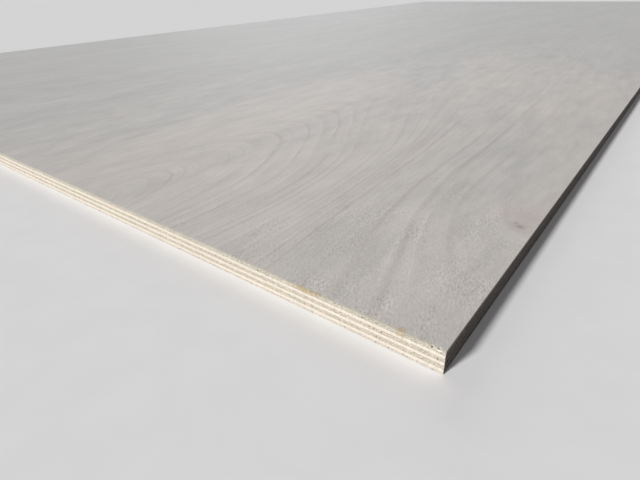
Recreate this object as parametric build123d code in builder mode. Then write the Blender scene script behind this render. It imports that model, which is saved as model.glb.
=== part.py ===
from build123d import *
import os

# Plywood sheet: veneers peeled from a log, laid up with their grain crosswise in turn,
# glued face to face in a hot press and trimmed square on one saw.
# It lies flat. X runs across the sheet, Y along it and +Z points up out of its face.
# The origin is the middle of the underside.

# Trimmed size, in millimetres
sheet_length = 2440.0
sheet_width = 1220.0

# Veneer thicknesses as the sawn end shows them: the face is the thickest, the inner
# plies are alike, and the back has lost most to the sander
face_thickness = 1.9
inner_thickness = 1.8
back_thickness = 1.1

# Radius to which the outer arrises and corners are rubbed down after sawing
arris_ease = 0.3

# The plies from the underside up. The grain of the face, the long bands and the back
# runs along the sheet, and the grain of the crossbands between them runs across it
lay_up = [
    ("back_veneer", back_thickness),
    ("lower_crossband", inner_thickness),
    ("lower_long_band", inner_thickness),
    ("centre_crossband", inner_thickness),
    ("upper_long_band", inner_thickness),
    ("upper_crossband", inner_thickness),
    ("face_veneer", face_thickness),
]

os.makedirs("parts", exist_ok=True)

glue_line = 0.0
for name, thickness in lay_up:
    with BuildPart() as ply:
        with BuildSketch(Plane.XY.offset(glue_line)):
            Rectangle(sheet_width, sheet_length)
        extrude(amount=thickness)
        # One saw cut all the plies, so their corners are in line and eased alike
        eased = ply.edges().filter_by(Axis.Z)
        if name == "back_veneer":
            eased += ply.faces().sort_by(Axis.Z)[0].edges()
        if name == "face_veneer":
            eased += ply.faces().sort_by(Axis.Z)[-1].edges()
        fillet(eased, radius=arris_ease)
    ply.part.label = name
    export_step(ply.part, f"parts/{name}.step")
    glue_line += thickness

print("sheet thickness", round(glue_line, 3), "mm")
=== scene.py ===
import math

import bmesh
import bpy
import numpy as np
from mathutils import Matrix, Vector


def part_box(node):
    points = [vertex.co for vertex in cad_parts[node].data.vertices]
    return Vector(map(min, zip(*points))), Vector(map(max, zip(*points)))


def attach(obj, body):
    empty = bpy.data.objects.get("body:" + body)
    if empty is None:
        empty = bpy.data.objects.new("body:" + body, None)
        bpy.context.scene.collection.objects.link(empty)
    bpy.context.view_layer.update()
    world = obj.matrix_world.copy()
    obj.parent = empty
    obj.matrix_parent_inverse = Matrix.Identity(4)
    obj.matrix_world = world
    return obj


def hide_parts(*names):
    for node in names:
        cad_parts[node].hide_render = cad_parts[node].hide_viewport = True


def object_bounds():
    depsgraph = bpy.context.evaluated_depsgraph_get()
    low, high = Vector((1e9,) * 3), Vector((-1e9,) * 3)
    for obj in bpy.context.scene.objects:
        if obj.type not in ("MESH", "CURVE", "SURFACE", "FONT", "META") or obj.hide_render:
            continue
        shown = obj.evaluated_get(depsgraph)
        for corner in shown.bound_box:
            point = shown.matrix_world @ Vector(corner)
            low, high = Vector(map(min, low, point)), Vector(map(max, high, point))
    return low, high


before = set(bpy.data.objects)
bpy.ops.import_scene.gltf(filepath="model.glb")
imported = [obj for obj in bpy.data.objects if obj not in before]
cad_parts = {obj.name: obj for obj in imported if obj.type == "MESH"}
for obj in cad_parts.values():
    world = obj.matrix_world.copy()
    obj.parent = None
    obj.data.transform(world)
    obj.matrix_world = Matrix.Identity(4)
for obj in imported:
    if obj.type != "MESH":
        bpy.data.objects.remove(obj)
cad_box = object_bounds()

# Camera
# It is held low, just off the sheet's near right corner, and looks down at the corner and across
# the face to the left edge, rolled a little to the right. Its angles are in degrees.
mm = 0.001
beyond_right_edge = 43 * mm
before_near_end = 128 * mm
camera_height = 136.4 * mm
camera_heading = 38.74
camera_tilt = 60.03
camera_roll = -2.0
camera_lens = 25.44

near_right_corner = Vector((cad_box[1].x, cad_box[0].y, 0))
camera = bpy.data.objects.new("camera", bpy.data.cameras.new("camera"))
camera.data.lens = camera_lens
camera.data.clip_start = 10 * mm
camera.data.clip_end = 200
camera_place = near_right_corner + Vector((beyond_right_edge, -before_near_end, camera_height))
camera.matrix_world = (
    Matrix.Translation(camera_place)
    @ Matrix.Rotation(math.radians(camera_heading), 4, "Z")
    @ Matrix.Rotation(math.radians(camera_tilt), 4, "X")
    @ Matrix.Rotation(math.radians(camera_roll), 4, "Z")
)
bpy.context.scene.collection.objects.link(camera)
bpy.context.scene.camera = camera

# Back veneer
# The lowest ply, a peeled veneer glued on with its grain along the sheet, and the thinnest of the
# seven. The saw fuzzes its ends and chips its lower arris a little.
half_size = np.array(cad_box[1])[:2]
arris_ease = 0.3 * mm
deepest_cut = 0.9 * arris_ease
finest_step = 0.35 * mm
coarsest_step = 3 * mm
step_growth = 100 * mm
ruler_marks = 20001
corner_steps = 5
tooth_pitch = 1.3 * mm
tooth_lean = 0.3
cap_margin = 30 * mm
cap_cells = (24, 48)
weld_reach = 0.001 * mm
along_sheet = np.array((0.0, 1.0))


def hashed_noise(places, cell, seed):
    """Smooth noise from 0 to 1. Space is cut into cells, and each corner of a cell gets a number
    hashed, with large primes, from its three whole coordinates and the seed. A place blends the
    eight numbers round it by 3t^2 - 2t^3 along each axis."""
    scaled = places / np.array(cell)
    corner = np.floor(scaled).astype(np.int64)
    inside = scaled - corner
    inside = inside * inside * (3 - 2 * inside)
    total = 0
    for step in np.ndindex(2, 2, 2):
        x, y, z = np.moveaxis(corner + step, -1, 0)
        number = (x * 73856093) ^ (y * 19349663) ^ (z * 83492791) ^ (seed * 97531)
        number = (number ^ (number >> 13)) * 1274126177 & 0xFFFFFFFF
        value = ((number ^ (number >> 16)) & 0xFFFF) / 0xFFFF
        total = total + value * np.prod(np.where(step, inside, 1 - inside), axis=-1)
    return total


def sawn_outline():
    """Stations round the sawn outline, counter-clockwise from the near end of the right edge. The
    outline is a rectangle inset by the ease, plus the ease in an outward direction that turns a
    quarter at each corner. The step is finest at the near right corner and grows evenly with the
    distance from it, up to the coarsest. Gives each station's foot and outward direction."""
    corners = (half_size - arris_ease) * ((1, -1), (1, 1), (-1, 1), (-1, -1))
    feet = []
    turns = []
    for side, start in enumerate(corners):
        run = corners[(side + 1) % 4] - start
        ruler = np.linspace(0, 1, ruler_marks)
        away = np.linalg.norm(start + np.outer(ruler, run) - corners[0], axis=1)
        step = np.minimum(finest_step * (1 + away / step_growth), coarsest_step)
        count = np.cumsum(np.linalg.norm(run) / len(ruler) / step)
        stations = np.linspace(count[0], count[-1], math.ceil(count[-1]) + 1)
        feet.append(start + np.outer(np.interp(stations, count, ruler), run))
        turns.append(np.full(len(stations), side * 90.0))
        feet.append(np.tile(start + run, (corner_steps - 1, 1)))
        turns.append((side + np.arange(1, corner_steps) / corner_steps) * 90)
    angle = np.radians(np.concatenate(turns))
    return np.concatenate(feet), np.stack((np.cos(angle), np.sin(angle)), axis=1)


def saw_depth(places, end_grain, seed):
    """How deep the sawn surface lies under its true plane. Tooth marks are waves that lean as they
    climb and cross every ply. End grain adds fuzz of a vessel's size and sparse pits, and long
    grain adds faint ridges that run along the ply. Those three draw on a seed each, from seed on,
    so that no two plies match."""
    lean = places[..., 2:] * (tooth_lean, tooth_lean, 0)
    teeth = hashed_noise(places + lean, (tooth_pitch, tooth_pitch, 20 * mm), 1)
    fuzz = hashed_noise(places, (0.7 * mm, 0.7 * mm, 0.5 * mm), seed)
    pits = np.clip(hashed_noise(places, (0.9 * mm, 0.9 * mm, 0.6 * mm), seed + 1) * 5 - 4, 0, 1)
    ridges = hashed_noise(places, (20 * mm, 20 * mm, 0.5 * mm), seed + 2)
    rough = end_grain * (0.07 * fuzz + 0.3 * pits) + (1 - end_grain) * 0.02 * ridges
    return mm * (0.03 * teeth + rough)


def flat_cap(rim, height, rim_start, cap_start):
    """A flat cap inside a rim of places: a coarse grid held back from the outline, and a zip of
    triangles that ties each place of the rim to the nearest point on the grid's border. The rim's
    places are numbered from rim_start on, and the grid's from cap_start on. Gives the grid's
    places and the faces, looking up."""
    room = half_size - cap_margin
    across = np.linspace(-room[0], room[0], cap_cells[0] + 1)
    along = np.linspace(-room[1], room[1], cap_cells[1] + 1)
    grid = np.stack(np.meshgrid(across, along, [height], indexing="ij"), axis=-1)[:, :, 0]
    index = cap_start + np.arange(grid[..., 0].size).reshape(grid.shape[:2])
    quads = np.stack((index[:-1, :-1], index[1:, :-1], index[1:, 1:], index[:-1, 1:]), axis=2)
    border = np.concatenate((index[-1, :-1], index[:0:-1, -1], index[0, :0:-1], index[:-1, 0]))
    border_places = grid.reshape(-1, 3)[border - cap_start, :2]
    near = np.argmin(np.linalg.norm(rim[:, None] - border_places, axis=2), axis=1)
    rim_index = rim_start + np.arange(len(rim))
    next_index = np.roll(rim_index, -1)
    next_near = np.roll(near, -1)
    teeth = np.stack((rim_index, next_index, border[near]), axis=1)
    gaps = np.stack((next_index, border[next_near], border[near]), axis=1)[near != next_near]
    return grid.reshape(-1, 3), quads.reshape(-1, 4).tolist() + teeth.tolist() + gaps.tolist()


def ply_skin(name, insets, heights, glue_line, grain, seed, tears=None):
    """A ply's closed skin: a profile, given as insets from the sawn plane and heights, carried
    round the outline as rings, with a flat cap inside the first ring and the last. Each place is
    the outline's foot, held inside the rectangle inset that far, plus what the inset leaves of the
    ease and less the saw's depth in the outward direction. A tear moves the outer face towards the
    glue line, and the side next to it in proportion to the distance from that line. It also draws
    the sawn side in by half as much, and less further from the face. It dies out towards the
    diagonal of a corner, where a ring's feet from both sides fall on one place. The attribute
    called torn keeps it in millimetres."""
    feet, outward = sawn_outline()
    insets = np.array(insets)[:, None]
    heights = np.array(heights)[:, None]
    shape = (len(insets), len(feet))
    room = half_size - insets[..., None]
    flat = np.clip(feet, -room, room) + outward * np.maximum(arris_ease - insets[..., None], 0)
    places = np.concatenate((flat, np.broadcast_to(heights[..., None], shape + (1,))), axis=2)
    end_grain = np.abs(outward @ grain) ** 2
    on_side = np.clip(1 - insets / arris_ease, 0, 1)
    depth = saw_depth(places, end_grain, seed) * on_side
    torn = np.zeros(shape)
    if tears is not None:
        share = (heights - glue_line) / np.max(np.abs(heights - glue_line))
        from_corner = np.max(half_size - np.abs(feet), axis=1)
        off_diagonal = np.clip((from_corner - insets) / mm, 0, 1)
        torn = tears(places, insets, end_grain) * off_diagonal * np.abs(share)
        places[..., 2] -= torn * np.sign(share)
        depth = depth + 0.5 * torn * np.abs(share) ** 3 * on_side
    places[..., :2] -= np.minimum(depth, deepest_cut)[..., None] * outward
    index = np.arange(shape[0] * shape[1]).reshape(shape)
    after = np.roll(index, -1, axis=1)
    quads = np.stack((index[:-1], after[:-1], after[1:], index[1:]), axis=2).reshape(-1, 4)
    below, low_faces = flat_cap(places[0, :, :2], heights[0, 0], 0, index.size)
    high_start = index.size + len(below)
    above, high_faces = flat_cap(places[-1, :, :2], heights[-1, 0], index[-1, 0], high_start)
    faces = quads.tolist() + [face[::-1] for face in low_faces] + high_faces
    mesh = bpy.data.meshes.new(name)
    mesh.from_pydata(np.concatenate((places.reshape(-1, 3), below, above)).tolist(), [], faces)
    smooth = np.arange(len(faces)) < len(quads)
    mesh.polygons.foreach_set("use_smooth", smooth)
    depth_torn = np.concatenate((torn.ravel(), np.zeros(len(below) + len(above)))) / mm
    mesh.attributes.new("torn", "FLOAT", "POINT").data.foreach_set("value", depth_torn)
    welded = bmesh.new()
    welded.from_mesh(mesh)
    bmesh.ops.remove_doubles(welded, verts=welded.verts, dist=weld_reach)
    welded.to_mesh(mesh)
    welded.free()
    skin = bpy.data.objects.new(name, mesh)
    bpy.context.scene.collection.objects.link(skin)
    return skin


class Wire:
    """An output socket in a material's node tree. Arithmetic on wires and numbers adds Math nodes
    and gives the wire that leaves them. add() places any other node."""

    def __init__(self, tree, socket=None):
        self.tree = tree
        self.socket = socket

    def add(self, kind, settings, sockets, out=0):
        """A node of that kind: its settings are set first, then its sockets, by name or number, to
        values or wires. The wire that comes back leaves the output named or numbered out."""
        node = self.tree.nodes.new("ShaderNode" + kind)
        for name, value in settings.items():
            setattr(node, name, value)
        for name, value in sockets.items():
            if isinstance(value, Wire):
                self.tree.links.new(value.socket, node.inputs[name])
            else:
                node.inputs[name].default_value = value
        return Wire(self.tree, node.outputs[out] if node.outputs else None)

    def beside(self, output):
        """The wire that leaves another output of the same node, by name."""
        return Wire(self.tree, self.socket.node.outputs[output])

    def math(self, operation, *values):
        """A Math node on these values, or on this wire alone where none is given."""
        return self.add("Math", {"operation": operation}, dict(enumerate(values or (self,))))

    def __add__(self, other):
        return self.math("ADD", self, other)

    def __radd__(self, other):
        return self.math("ADD", other, self)

    def __sub__(self, other):
        return self.math("SUBTRACT", self, other)

    def __rsub__(self, other):
        return self.math("SUBTRACT", other, self)

    def __mul__(self, other):
        return self.math("MULTIPLY", self, other)

    def __rmul__(self, other):
        return self.math("MULTIPLY", other, self)

    def __truediv__(self, other):
        return self.math("DIVIDE", self, other)

    def rise(self, low, high):
        """0 up to low, 1 from high, and an S-shaped climb between them."""
        return self.add(
            "MapRange",
            {"interpolation_type": "SMOOTHSTEP"},
            {"Value": self, "From Min": low, "From Max": high},
        )

    def noise(self, cell, detail, shift, roughness=0.5):
        """Noise at these coordinates from about -1 to 1, with cells of that size in metres. Its
        shift sets it off from other patterns of the same size."""
        scaled = self.add(
            "VectorMath",
            {"operation": "MULTIPLY_ADD"},
            {0: self, 1: [1 / size for size in cell], 2: (shift, 1.7 * shift, 2.3 * shift)},
        )
        found = self.add(
            "TexNoise",
            {},
            {"Vector": scaled, "Scale": 1.0, "Detail": detail, "Roughness": roughness},
        )
        return found * 4 - 2

    def waves(self, period, detail):
        """Noise along this value from about -1 to 1, with waves of that length."""
        found = self.add(
            "TexNoise",
            {"noise_dimensions": "1D"},
            {"W": self / period, "Scale": 1.0, "Detail": detail},
        )
        return found * 4 - 2

    def bell(self):
        """A bell curve of this value: 1 at 0, and a third at 1 and at -1."""
        return (-1 * (self * self)).math("EXPONENT")

    def between(self, first, second):
        """The colour this far, from 0 to 1, on the way from the first colour to the second."""
        return self.add("Mix", {"data_type": "RGBA"}, {0: self, 6: first, 7: second}, out=2)

    def dim(self, share):
        """This colour times a varying brightness."""
        return self.add("VectorMath", {"operation": "SCALE"}, {0: self, "Scale": share})

    def axes(self):
        """The X, Y and Z of these coordinates."""
        split = self.add("SeparateXYZ", {}, {0: self})
        return [split.beside(axis) for axis in "XYZ"]


def start_material(name):
    """A new material with an empty node tree, and its Object coordinates and Normal as wires."""
    material = bpy.data.materials.new(name)
    material.use_nodes = True
    material.node_tree.nodes.clear()
    seen = Wire(material.node_tree).add("TexCoord", {}, {}, out="Object")
    return material, seen, seen.beside("Normal")


def bare_wood(material, colour, roughness, height, specular=0.08):
    """Ends a material as bare wood with that colour, roughness and relief in millimetres. Sawn wood
    is dull, and the sanded face has a little more sheen."""
    relief = colour.add("Bump", {}, {"Distance": mm, "Height": height})
    wood = colour.add(
        "BsdfPrincipled",
        {},
        {
            "Base Color": colour,
            "Roughness": roughness,
            "Specular IOR Level": specular,
            "Normal": relief,
        },
    )
    colour.add("OutputMaterial", {}, {"Surface": wood})
    return material


lowest_glue_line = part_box("back_veneer")[1].z
inner_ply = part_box("lower_crossband")[1].z - lowest_glue_line
ochre = (0.58, 0.45, 0.25, 1)
ochre_stains = [(69 * mm, 10 * mm, 2.4 * mm, 1), (20 * mm, 2.4 * mm, 4 * mm, 0.7)]


def ochre_stained(colour, seen):
    """The colour with two speckled ochre stains on the near end's upper arris, each so far inboard
    of the right edge, so wide, so far over the arris and so strong. A stain fades along the end,
    and over the arris by the way inward on the face plus the way down the end."""
    x, y, z = seen.axes()
    over_arris = (y + half_size[1]) + (cad_box[1].z - z)
    grit = seen.noise((1.2 * mm, 1.8 * mm, 0.8 * mm), 2, 71.0, 0.7)
    for stain_in, half_wide, reach, strength in ochre_stains:
        spot = ((half_size[0] - x - stain_in) / half_wide).bell() * (over_arris / reach).bell()
        speckled = strength * (spot * (0.8 + 0.9 * grit)).rise(0.15, 0.9)
        colour = speckled.between(colour, ochre)
    return colour


def sawn_edge(seen, normal, grain_axis, pale, deep):
    """Colour and relief of a ply's sawn edge. Where the saw ran along the grain it is smooth and
    pale, with streaks along the ply, and carries painted shade along its upper glue line, under the
    torn ends of the ply above. Where it cut across, it is deeper, layered by the growth rings, with
    tufts and dark pits."""
    end_grain = normal.axes()[grain_axis].math("ABSOLUTE").rise(0.4, 0.8)
    streaks = seen.noise((14 * mm, 14 * mm, 0.3 * mm), 3, 3.1)
    nicks = seen.noise((1.6 * mm, 1.6 * mm, 0.5 * mm), 4, 29.0, 0.7)
    layers = seen.noise((7 * mm, 7 * mm, 0.45 * mm), 3, 7.7)
    tufts = seen.noise((1.1 * mm, 1.1 * mm, 0.8 * mm), 4, 11.3, 0.75)
    pits = seen.noise((1.2 * mm, 1.2 * mm, 0.8 * mm), 1, 19.9).rise(0.5, 0.85)
    teeth = seen.noise((0.9 * mm, 0.9 * mm, 14 * mm), 2, 23.0)
    stains = seen.noise((30 * mm, 30 * mm, 3 * mm), 2, 27.0)
    smooth_tone = 0.98 + 0.06 * streaks + 0.06 * teeth + 0.2 * nicks
    end_tone = 1.01 + 0.14 * layers + 0.5 * tufts + 0.05 * teeth - 0.6 * pits
    plies_up = (seen.axes()[2] - lowest_glue_line) / inner_ply
    # painted shade: each ply is darker along the top of its sawn side, under the glue line and the
    # ply above
    shade_under_glue_line = 0.8 * (plies_up.math("FRACT") + 0.1 * tufts).rise(0.7, 0.98)
    colour = end_grain.math("MAXIMUM", end_grain, shade_under_glue_line).between(pale, deep)
    tone = (smooth_tone + end_grain * (end_tone - smooth_tone)) * (1 + 0.04 * stains)
    height = end_grain * (0.05 * tufts - 0.08 * pits) + 0.01 * streaks + 0.015 * teeth
    return ochre_stained(colour.dim(tone), seen), height


quarter = np.linspace(0, math.pi / 2, 5)
side_levels = [0.55 * mm, 0.8 * mm, lowest_glue_line]
back_insets = [2.4 * mm, 1.2 * mm, 0.6 * mm, *(arris_ease * (1 - np.sin(quarter))), 0, 0, 0]
back_heights = [0, 0, 0, *(arris_ease * (1 - np.cos(quarter))), *side_levels]
deepest_chip = 0.22 * mm


def lower_arris_chips(places, insets, end_grain):
    """Chips along the lower arris: clustered bites across the grain and a trace along it, which
    fade out within a millimetre."""
    round_arris = places[:1] * (1, 1, 0)
    clusters = hashed_noise(round_arris, (25 * mm, 25 * mm, mm), 41)
    bites = hashed_noise(round_arris, (1.1 * mm, 1.1 * mm, mm), 42)
    bite = np.clip(bites * 2.4 - 1.3, 0, 1) * np.clip(clusters * 2 - 0.6, 0.1, 1)
    fading = np.clip(1 - insets / mm, 0, 1) ** 1.5
    return deepest_chip * bite * (0.15 + 0.85 * end_grain) * fading


back = ply_skin(
    "sawn_back_veneer",
    back_insets,
    back_heights,
    glue_line=lowest_glue_line,
    grain=along_sheet,
    seed=50,
    tears=lower_arris_chips,
)
material, seen, normal = start_material("back_veneer_wood")
edge_colour, edge_height = sawn_edge(seen, normal, 1, (0.84, 0.77, 0.67, 1), (0.78, 0.68, 0.57, 1))
flat = normal.axes()[2].math("ABSOLUTE").rise(0.5, 0.85)
fibres = seen.noise((1.4 * mm, 60 * mm, 20 * mm), 2, 5.0)
bands = seen.noise((45 * mm, 600 * mm, 1), 2, 9.0)
back_colour = bands.rise(-0.6, 0.6).between((0.70, 0.62, 0.53, 1), (0.76, 0.70, 0.62, 1))
back_colour = back_colour.dim(1 + 0.03 * fibres)
colour = flat.between(edge_colour, back_colour)
height = edge_height + flat * (0.02 * fibres - edge_height)
back.data.materials.append(bare_wood(material, colour, 0.68 + 0.05 * fibres, height))
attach(back, "root")
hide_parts("back_veneer")

# Crossbands
# Three peeled veneers, glued in with their grain across the sheet. On the near and far ends the saw
# ran along their fibres, and they show as smooth bright lines. On the long edges it cut across
# them, and they show end grain.
across_sheet = np.array((1.0, 0.0))
side_rows = 7
material, seen, normal = start_material("crossband_wood")
colour, height = sawn_edge(seen, normal, 0, (0.93, 0.87, 0.765, 1), (0.69, 0.62, 0.52, 1))
crossband_wood = bare_wood(material, colour, 0.75 + 0.1 * height, height)
for number, node in enumerate(("lower_crossband", "centre_crossband", "upper_crossband")):
    low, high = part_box(node)
    levels = np.linspace(low.z, high.z, side_rows)
    seed = 60 + 3 * number
    crossband = ply_skin("sawn_" + node, np.zeros(side_rows), levels, low.z, across_sheet, seed)
    crossband.data.materials.append(crossband_wood)
    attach(crossband, "root")
    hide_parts(node)

# Long bands
# Two peeled veneers, glued in between the crossbands with their grain along the sheet. On the near
# and far ends they show open end grain, greyer and pitted, and on the long edges a smooth bright
# line.
material, seen, normal = start_material("long_band_wood")
colour, height = sawn_edge(seen, normal, 1, (0.88, 0.82, 0.71, 1), (0.70, 0.62, 0.51, 1))
long_band_wood = bare_wood(material, colour, 0.75 + 0.1 * height, height)
for number, node in enumerate(("lower_long_band", "upper_long_band")):
    low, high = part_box(node)
    levels = np.linspace(low.z, high.z, side_rows)
    seed = 80 + 3 * number
    long_band = ply_skin("sawn_" + node, np.zeros(side_rows), levels, low.z, along_sheet, seed)
    long_band.data.materials.append(long_band_wood)
    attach(long_band, "root")
    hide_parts(node)

# Face veneer
# The upper ply, peeled so that the growth rings wander over it in long arches, glued on and sanded.
# The saw tore fibres from its ends along the arris, where there are two stains and two small holes.
face_low, face_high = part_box("face_veneer")
side_levels = np.linspace(face_low.z, face_high.z - arris_ease, 6)
inner_rings = mm * np.array((0.45, 0.7, 1.0, 1.4, 1.9, 2.6, 3.5, 4.6))
face_insets = [*np.zeros_like(side_levels), *(arris_ease * (1 - np.cos(quarter[1:]))), *inner_rings]
face_heights = [*side_levels, *(face_high.z - arris_ease * (1 - np.sin(quarter[1:])))]
face_heights += [face_high.z] * len(inner_rings)
deepest_tear = 0.28 * mm
least_reach = 0.5 * mm
holes = [(6 * mm, 0.2 * mm), (3 * mm, 0.6 * mm)]
hole_radius = 0.5 * mm
hole_depth = 0.7 * mm


def upper_arris_tears(places, insets, end_grain):
    """Torn fibres along the upper arris. Across the grain they are narrow and clustered, and the
    deeper they are the further they reach into the face. Along the grain they are longer and
    shallow. Two small round holes are broken into the arris by the near right corner, each so far
    inboard of the right edge and onward of the near end."""
    round_arris = places[:1] * (1, 1, 0)
    clusters = np.clip(hashed_noise(round_arris, (22 * mm, 40 * mm, mm), 43) * 2.2 - 0.6, 0.1, 1)
    splits = np.clip(hashed_noise(round_arris, (0.9 * mm, 9 * mm, mm), 44) * 2.6 - 1.3, 0, 1)
    bite = deepest_tear * splits * clusters * (0.12 + 0.88 * end_grain)
    reach = least_reach + 8 * bite * end_grain
    tear = bite * np.clip(1 - insets / reach, 0, 1) ** 1.5
    for hole_in, hole_on in holes:
        across = half_size[0] - hole_in - places[..., 0]
        along = hole_on - half_size[1] - places[..., 1]
        away = np.hypot(across, along)
        tear = np.maximum(tear, hole_depth * np.exp(-((away / hole_radius) ** 4)))
    return tear


face = ply_skin(
    "sawn_face_veneer",
    face_insets,
    face_heights,
    glue_line=face_low.z,
    grain=along_sheet,
    seed=90,
    tears=upper_arris_tears,
)
material, seen, normal = start_material("face_veneer_wood")
edge_colour, edge_height = sawn_edge(seen, normal, 1, (0.87, 0.81, 0.70, 1), (0.66, 0.605, 0.51, 1))
flat = normal.axes()[2].rise(0.55, 0.9)
x, y, z = seen.axes()
inboard = half_size[0] - x
onward = y + half_size[1]


def soft_oval(centre_in, centre_on, half_wide, half_long):
    """A soft oval on the face, 1 at its centre: a bell curve across the sheet times one along it.
    Its centre lies so far inboard of the right edge and onward of the near end."""
    sideways = (inboard - centre_in) / half_wide
    return sideways.bell() * ((onward - centre_on) / half_long).bell()


# Growth rings: contour lines of a field of swells, each a soft oval so many rings high. The first
# three make the nested arches by the near end and their shoulder, the next two bend the grain round
# the pin knot, and the rest lean it inboard further up and make the arches at the far end. All come
# again a turn of the log further in, because the veneer was peeled. White noise on a ring's number
# gives its strength, latewood lines it, and one strand beside the arches is darker. A faint figure
# follows the rings.
swells = [
    (255 * mm, -400 * mm, 70 * mm, 500 * mm, 36),
    (155 * mm, 85 * mm, 60 * mm, 160 * mm, 6),
    (105 * mm, 100 * mm, 35 * mm, 130 * mm, -2),
    (0 * mm, 150 * mm, 100 * mm, 350 * mm, -6),
    (12 * mm, 140 * mm, 40 * mm, 70 * mm, -2),
    (-60 * mm, 1000 * mm, 160 * mm, 700 * mm, -20),
    (400 * mm, 150 * mm, 500 * mm, 1500 * mm, 3),
    (330 * mm, 2440 * mm, 120 * mm, 900 * mm, 22),
]
log_turn = 690 * mm
first_ring = 7
dark_ring = 8.2
wander = seen.noise((60 * mm, 240 * mm, 1), 2, 31.0)
flutter = seen.noise((7 * mm, 28 * mm, 1), 3, 37.0)
rings = first_ring + 0.28 * wander + 0.06 * flutter
for turn in (0, 1):
    for centre_in, centre_on, half_wide, half_long, rings_high in swells:
        swell = soft_oval(centre_in + turn * log_turn, centre_on, half_wide, half_long)
        rings = rings + rings_high * swell
away_squared = inboard * inboard + onward * onward
rings = rings + away_squared.rise(0.1, 0.9) * 2 * seen.noise((190 * mm, 1.5, 1), 1, 41.0)
uneven = rings + 0.35 * rings.waves(1.7, 1)
within = uneven.math("FRACT")
whole = uneven.math("FLOOR")
strong = whole.add("TexWhiteNoise", {"noise_dimensions": "1D"}, {"W": whole}, out="Value")
broken = seen.noise((20 * mm, 90 * mm, 1), 2, 43.0).rise(-0.9, 0.3)
fibres = seen.noise((1.4 * mm, 22 * mm, 1), 3, 59.0, 0.6)
faded = 1 - 0.5 * inboard.rise(240 * mm, 300 * mm)
faded = faded * (0.3 + 0.7 * (inboard + 0.8 * onward).rise(30 * mm, 130 * mm))
faded = faded * (1 - 0.65 * away_squared.rise(0.03, 0.24))
dashes = seen.noise((0.9 * mm, 6 * mm, 1), 2, 57.0, 0.6)
shown = (0.25 + 0.75 * strong * strong) * broken * faded * (0.85 + 0.3 * fibres + 0.4 * dashes)
latewood = within.rise(0.55, 0.87) * within.rise(1.0, 0.87) * shown
dark_strand = ((rings - dark_ring) / 0.3).bell() * ((onward - 170 * mm) / (120 * mm)).bell()
latewood = latewood + 0.5 * dark_strand * faded * (1 + 0.4 * dashes)
earlywood = within.rise(0.18, 0.02) * shown
by_rings = seen.add("CombineXYZ", {}, {"X": rings * 1.6, "Y": y / (90 * mm), "Z": x / (60 * mm)})
figure = by_rings.noise((1, 1, 1), 2, 0.0, 0.6)

# Sanded surface: a warmer band by the near part of the right edge, turning greyer further off
# partly as tone and partly as a painted reflection, broad paler and darker bands, clouds and fibres
# that are calmer further off, and a fine fuzz that leans a little inboard and is strongest by the
# near right corner
bands = seen.noise((55 * mm, 420 * mm, 1), 2, 47.0)
clouds = seen.noise((16 * mm, 50 * mm, 1), 3, 53.0, 0.7)
leaning = seen.add("CombineXYZ", {}, {"X": x + 0.35 * y, "Y": y, "Z": z})
fuzz = leaning.noise((0.7 * mm, 2.2 * mm, 1), 2, 61.0, 0.65)
patches = 0.45 + 0.9 * seen.noise((20 * mm, 40 * mm, 1), 2, 63.0).rise(-0.4, 0.8)
patches = patches * (1 - 0.75 * away_squared.rise(-0.005, 0.045))
pores = seen.noise((0.8 * mm, 2.4 * mm, 1), 1, 65.0).rise(0.4, 0.8)
mellow = seen.noise((120 * mm, 420 * mm, 1), 2, 67.0)
# partly painted reflection: the face turns greyer and cooler away from the near right corner, in
# place of a pale sheen at grazing angles
warm_band_and_far_reflection = 1.6 * inboard * inboard + 0.42 * onward * onward
blush_and_reflection = (0.3 * mellow + 0.1 * clouds - warm_band_and_far_reflection).rise(-0.55, 0.1)
ground = blush_and_reflection.between((0.594, 0.587, 0.565, 1), (0.674, 0.638, 0.601, 1))
tone = 1 + 0.04 * bands + patches * (0.24 * fuzz - 0.14 * pores)
calmer = 1 - 0.5 * away_squared.rise(0.06, 0.9)
tone = tone + (0.082 * clouds + 0.022 * fibres + 0.04 * figure) * calmer
face_colour = (0.57 * latewood).between(ground.dim(tone + 0.12 * earlywood), (0.48, 0.40, 0.37, 1))

# Pin knot: a small brown eye with a fainter lobe, in a greyer halo, with a pink stain beyond it and
# paler wood before it
eye = soft_oval(8.4 * mm, 116.6 * mm, 2.4 * mm, 2.2 * mm)
lobe = soft_oval(11.6 * mm, 119.5 * mm, 1.6 * mm, 2 * mm)
eye = eye.math("MAXIMUM", eye, 0.7 * lobe)
halo = soft_oval(8 * mm, 116.6 * mm, 7 * mm, 5 * mm)
stain = soft_oval(8 * mm, 131 * mm, 14 * mm, 12 * mm)
pale_patch = soft_oval(7 * mm, 105 * mm, 10 * mm, 7 * mm)
face_colour = (0.25 * pale_patch).between(face_colour, (0.80, 0.76, 0.70, 1))
face_colour = (0.5 * stain).between(face_colour, (0.62, 0.50, 0.49, 1))
face_colour = (0.3 * halo).between(face_colour, (0.48, 0.44, 0.41, 1))
face_colour = (0.85 * eye).between(face_colour, (0.40, 0.33, 0.29, 1))

# Torn arris: a creamy fringe along both ends, fresh wood in the tears, and both paler further in
# from the right edge
torn = seen.add("Attribute", {"attribute_name": "torn"}, {}, out="Fac")
fresh_and_unshaded = inboard.rise(-60 * mm, 160 * mm)
fray = seen.noise((1.4 * mm, 4 * mm, 1), 3, 73.0, 0.7)
to_end = half_size[1] - y.math("ABSOLUTE")
fringe = (1 - to_end / (2.6 * mm) + 0.6 * fray).rise(0.1, 1.3)
fringe_colour = fresh_and_unshaded.between((0.67, 0.64, 0.47, 1), (0.75, 0.72, 0.58, 1))
face_colour = (0.85 * fringe).between(face_colour, fringe_colour)
tear_wood = fresh_and_unshaded * (torn + 0.05 * fray).rise(0.05, 0.25)
face_colour = ochre_stained(tear_wood.between(face_colour, (0.78, 0.745, 0.61, 1)), seen)
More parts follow.
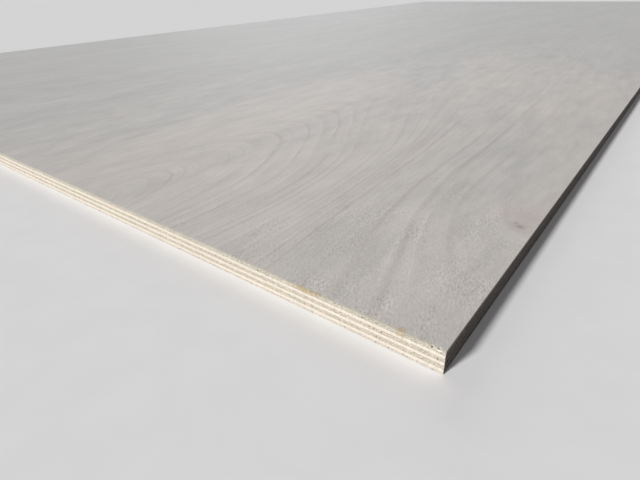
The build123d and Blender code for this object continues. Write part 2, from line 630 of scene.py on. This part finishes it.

# Sawn edges: painted shade by the upper arris, and on the rounded arris near the right edge,
# painted shade in the two holes, and a painted highlight on a white splinter under one of them
# painted shade: the sawn edge darkens over its top 0.8 mm, where the eased arris turns up to the
# light
arris_shade = z.rise(face_high.z - 0.8 * mm, face_high.z)
colour = flat.between(edge_colour.dim(1 - 0.26 * arris_shade), face_colour)
# painted shade: the rounded arris is darkened near the right edge, which faces away from the lamps
colour = colour.dim(1 - 0.7 * (1 - fresh_and_unshaded) * flat * (1 - flat))
# painted shade: the two holes are painted nearly black
colour = torn.rise(0.3, 0.5).between(colour, (0.06, 0.05, 0.04, 1))
# painted highlight: a near-white streak on a splinter under the hole nearer the right edge
splinter_highlight = ((inboard - 2.7 * mm) / (1.1 * mm)).bell() * ((z - 11.2 * mm) / (0.5 * mm)).bell()
splinter_highlight = (splinter_highlight * (onward / mm).bell()).rise(0.1, 0.7)
colour = splinter_highlight.between(colour, (0.97, 0.95, 0.90, 1))
face_height = 0.01 * fibres + 0.03 * fuzz - 0.01 * latewood - 0.02 * pores
height = edge_height + flat * (face_height - edge_height)
roughness = 0.72 + 0.04 * fibres
face.data.materials.append(bare_wood(material, colour, roughness, height, specular=0.42))
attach(face, "root")
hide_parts("face_veneer")

# Floor
# A plain pale studio floor. It is pale to the camera and in reflections, and darker to the light
# that it throws back, so that the sheet's shaded edge stays shaded.
floor_reach = 40.0
floor_sides = 96


def to_viewer(wire):
    """In the wire's tree, 1 for a ray from the camera or in a reflection, and 0 for other light."""
    camera_ray = wire.add("LightPath", {}, {}, out="Is Camera Ray")
    return camera_ray.math("MAXIMUM", camera_ray, camera_ray.beside("Is Glossy Ray"))


floor_mesh = bpy.data.meshes.new("floor")
angle = np.arange(floor_sides) * (2 * math.pi / floor_sides)
floor_rim = floor_reach * np.stack((np.cos(angle), np.sin(angle), 0 * angle), axis=1)
floor_mesh.from_pydata(floor_rim.tolist(), [], [list(range(floor_sides))])
floor = bpy.data.objects.new("floor", floor_mesh)
bpy.context.scene.collection.objects.link(floor)
material, seen = start_material("floor_paint")[:2]
speck = seen.noise((20 * mm, 20 * mm, 1), 2, 1.0)
dull = seen.add("BsdfDiffuse", {}, {"Color": (0.1, 0.1, 0.1, 1)})
pale_colour = speck.rise(-1, 1).between((0.84, 0.845, 0.86, 1), (0.86, 0.865, 0.88, 1))
pale = seen.add(
    "BsdfPrincipled",
    {},
    {
        "Base Color": pale_colour,
        "Roughness": 0.9,
        "Specular IOR Level": 0.0,
        "Emission Color": (1, 1, 1, 1),
        "Emission Strength": 0.08,
    },
)
either = seen.add("MixShader", {}, {0: to_viewer(seen), 1: dull, 2: pale})
seen.add("OutputMaterial", {}, {"Surface": either})
floor_mesh.materials.append(material)

# Light
# One key from before the near end, a weaker and softer one from behind on the left, and a little
# light from all round. To the camera and in reflections the world is a pale blue-grey.
world_light = (0.042, 0.038, 0.045, 1)
world_seen = (0.58, 0.65, 0.76, 1)
lamps = [
    ("key", 1.17, 14, 29, 10, (1.0, 0.985, 0.96)),
    ("back", 0.26, 139, 18, 34, (0.95, 0.97, 1.0)),
]
for name, level, azimuth, elevation, spread, tint in lamps:
    light = bpy.data.lights.new(name, "SUN")
    light.energy = level * math.pi
    light.angle = math.radians(spread)
    light.color = tint
    lamp = bpy.data.objects.new(name, light)
    heading = math.radians(azimuth)
    climb = math.radians(elevation)
    lamp_x = -math.sin(heading) * math.cos(climb)
    lamp_y = -math.cos(heading) * math.cos(climb)
    towards = Vector((lamp_x, lamp_y, math.sin(climb)))
    lamp.rotation_euler = towards.to_track_quat("Z", "Y").to_euler()
    bpy.context.scene.collection.objects.link(lamp)

world = bpy.data.worlds.new("studio")
bpy.context.scene.world = world
world.use_nodes = True
world.node_tree.nodes.clear()
sky = Wire(world.node_tree)
sky_colour = to_viewer(sky).between(world_light, world_seen)
background = sky.add("Background", {}, {"Color": sky_colour})
sky.add("OutputWorld", {}, {"Surface": background})
bpy.context.scene.view_settings.view_transform = "Standard"
